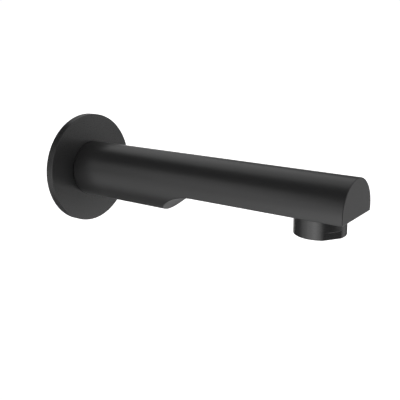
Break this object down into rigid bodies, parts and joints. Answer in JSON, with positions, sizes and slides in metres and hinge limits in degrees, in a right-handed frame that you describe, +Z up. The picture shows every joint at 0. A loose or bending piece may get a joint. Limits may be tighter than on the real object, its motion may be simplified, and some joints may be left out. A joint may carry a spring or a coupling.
{
  "type": "bath spout",
  "caption": "Wall-mounted bath spout: a round barrel on a disc flange, with a hollow scooped from its underside that runs into a flat, and a short round nozzle below the tip.",
  "frame": {"origin": "where the inlet's axis meets the wall, at the middle of the flange's back", "axes": "+Z up, +Y into the wall along the inlet's axis, so the spout reaches out along -Y; X runs across the spout"},
  "size_m": [0.07, 0.19, 0.07],
  "materials": {
    "coated_brass": "matte",
    "bare_brass": "satin",
    "foam": "matte",
    "seal_rubber": "matte",
    "insert_plastic": "satin"
  },
  "bodies": {
    "root": {"spout_body": "coated_brass", "wall_flange": "coated_brass", "nozzle_housing": "coated_brass", "flange_foam_seal": "foam", "flange_ring_seal": "seal_rubber", "inlet_washer": "seal_rubber", "nozzle_gasket": "seal_rubber", "insert_shell": "insert_plastic", "inlet_sieve": "insert_plastic", "jet_plate": "insert_plastic", "splash_grid": "insert_plastic", "flow_straightener": "insert_plastic"}
  },
  "joints": []
}
